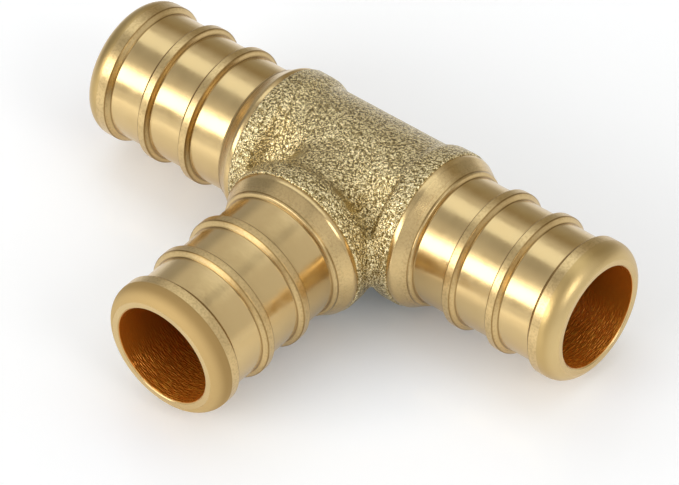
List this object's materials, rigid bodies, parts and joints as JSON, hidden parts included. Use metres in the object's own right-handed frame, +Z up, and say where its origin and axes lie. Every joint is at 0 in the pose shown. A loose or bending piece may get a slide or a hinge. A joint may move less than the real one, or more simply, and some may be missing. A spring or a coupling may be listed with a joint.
{
  "type": "pex crimp fitting tee",
  "caption": "Brass insert tee that joins PEX tubes under crimp rings: ribbed inserts, shoulders and a forged body with crossing waterways.",
  "frame": {"origin": "crossing of the centre lines of the run and the branch", "axes": "+X along the run, branch leaves along -Y, +Z up and square to both"},
  "size_m": [0.0492, 0.0315, 0.0138],
  "materials": {
    "brass": "turned bright on the arms, shot-blasted on the forged body"
  },
  "bodies": {
    "root": {"tee_fitting": "brass"}
  },
  "joints": []
}
